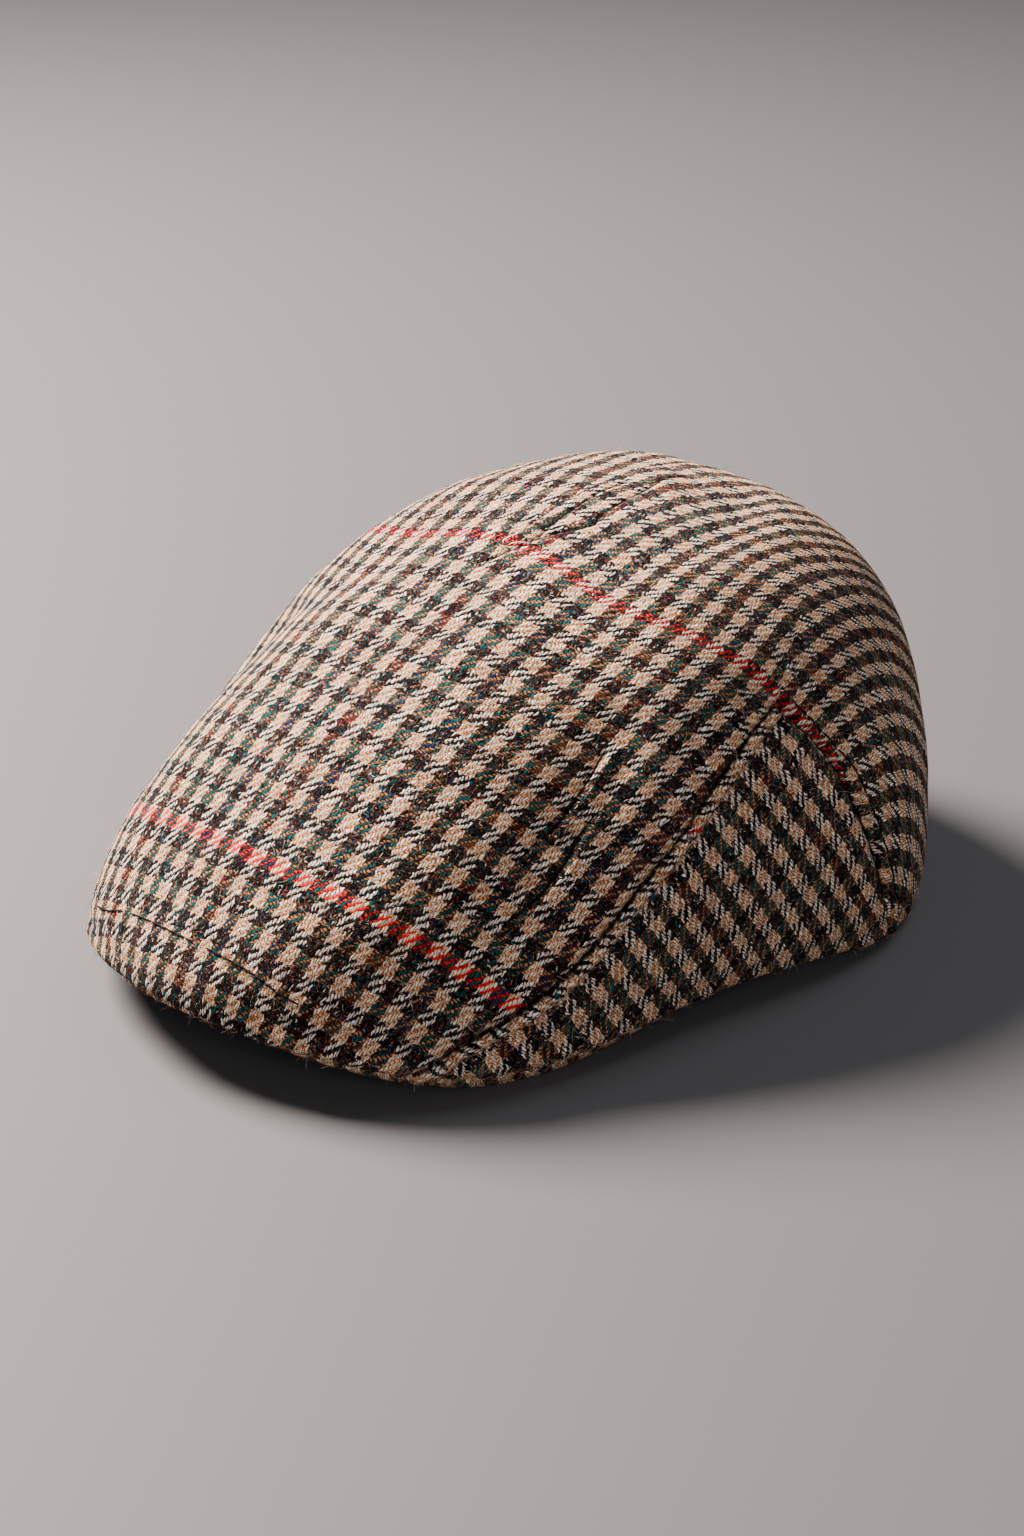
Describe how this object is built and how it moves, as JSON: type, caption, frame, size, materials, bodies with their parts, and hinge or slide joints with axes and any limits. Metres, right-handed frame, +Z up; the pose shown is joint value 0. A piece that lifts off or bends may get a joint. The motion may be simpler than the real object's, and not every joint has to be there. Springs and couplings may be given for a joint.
{
  "type": "flat cap",
  "caption": "Soft flat cap in checked wool tweed: sewn centre panel and side panels over a short stiff peak, open below for the head.",
  "frame": {"origin": "on the surface that the cap rests on, below the middle of the cap's box", "axes": "+Z up, the peak points along -Y and the back of the cap along +Y, the wearer's left is +X"},
  "size_m": [0.1806, 0.2442, 0.1104],
  "materials": {
    "tweed_centre": "brushed 2/2 twill wool tweed, small dark and cream check with thin red lines",
    "tweed_side": "the same tweed on the turned grain of the side panels",
    "tweed_peak": "the same tweed over a stiff peak board"
  },
  "bodies": {
    "root": {"top_panel": "tweed_centre", "side_panel_left": "tweed_side", "side_panel_right": "tweed_side", "peak": "tweed_peak"}
  },
  "joints": []
}
